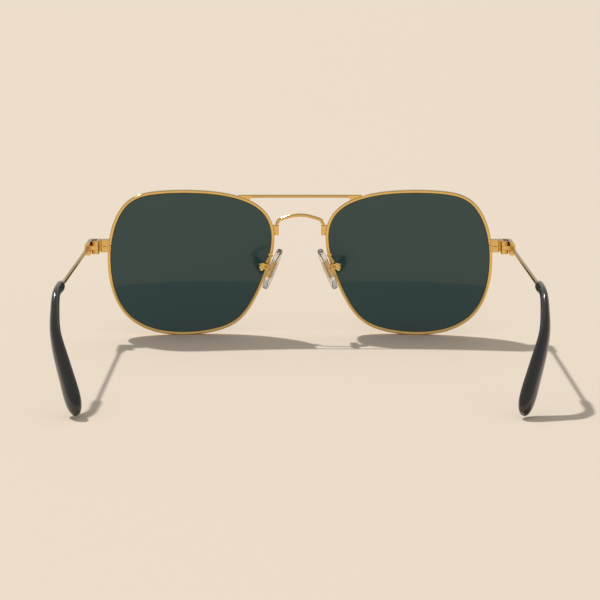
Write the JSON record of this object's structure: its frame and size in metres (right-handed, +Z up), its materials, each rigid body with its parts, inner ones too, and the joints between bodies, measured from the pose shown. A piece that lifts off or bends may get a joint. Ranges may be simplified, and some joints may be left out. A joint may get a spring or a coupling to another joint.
{
  "type": "aviator sunglasses",
  "caption": "Double-bridge aviator sunglasses with metal rims, dark lenses, adjustable nose pads and folding temples with plastic ear tips.",
  "frame": {"origin": "under the middle of the whole pair, on the surface that it stands on", "axes": "+X to the wearer's right, +Y the way the wearer looks, +Z up"},
  "size_m": [0.1434, 0.1303, 0.0494],
  "materials": {
    "gold_frame": "polished gold plate",
    "lens": "dark grey-green mineral glass",
    "tip": "glossy black acetate",
    "pad": "clear soft plastic",
    "screw": "gold-plated screw"
  },
  "bodies": {
    "root": {"brow_bar": "gold_frame", "nose_bridge": "gold_frame", "rim_right": "gold_frame", "lens_right": "lens", "rim_lock_upper_right": "gold_frame", "rim_lock_lower_right": "gold_frame", "rim_lock_screw_right": "screw", "end_piece_right": "gold_frame", "hinge_front_right": "gold_frame", "hinge_screw_right": "screw", "pad_arm_right": "gold_frame", "pad_box_right": "gold_frame", "pad_screw_right": "screw", "rim_left": "gold_frame", "lens_left": "lens", "rim_lock_upper_left": "gold_frame", "rim_lock_lower_left": "gold_frame", "rim_lock_screw_left": "screw", "end_piece_left": "gold_frame", "hinge_front_left": "gold_frame", "hinge_screw_left": "screw", "pad_arm_left": "gold_frame", "pad_box_left": "gold_frame", "pad_screw_left": "screw"},
    "temple_right": {"hinge_rear_right": "gold_frame", "temple_butt_right": "gold_frame", "temple_wire_right": "gold_frame", "temple_tip_right": "tip"},
    "nose_pad_right": {"nose_pad_right": "pad", "pad_insert_right": "gold_frame"},
    "temple_left": {"hinge_rear_left": "gold_frame", "temple_butt_left": "gold_frame", "temple_wire_left": "gold_frame", "temple_tip_left": "tip"},
    "nose_pad_left": {"nose_pad_left": "pad", "pad_insert_left": "gold_frame"}
  },
  "joints": [
    {"name": "temple_right_fold", "type": "hinge", "parent": "root", "child": "temple_right", "pos_m": [0.06805, 0.05186, 0.0311], "axis": [0, 0, -1], "range_deg": [0, 80]},
    {"name": "temple_left_fold", "type": "hinge", "parent": "root", "child": "temple_left", "pos_m": [-0.06805, 0.05186, 0.0311], "axis": [0, 0, 1], "range_deg": [0, 88]},
    {"name": "nose_pad_right_rock", "type": "hinge", "parent": "root", "child": "nose_pad_right", "pos_m": [0.01121, 0.05402, 0.02442], "axis": [-0.1736, 0.9848, 0], "range_deg": [-10, 10]},
    {"name": "nose_pad_left_rock", "type": "hinge", "parent": "root", "child": "nose_pad_left", "pos_m": [-0.01121, 0.05402, 0.02442], "axis": [0.1736, 0.9848, 0], "range_deg": [-10, 10]}
  ]
}
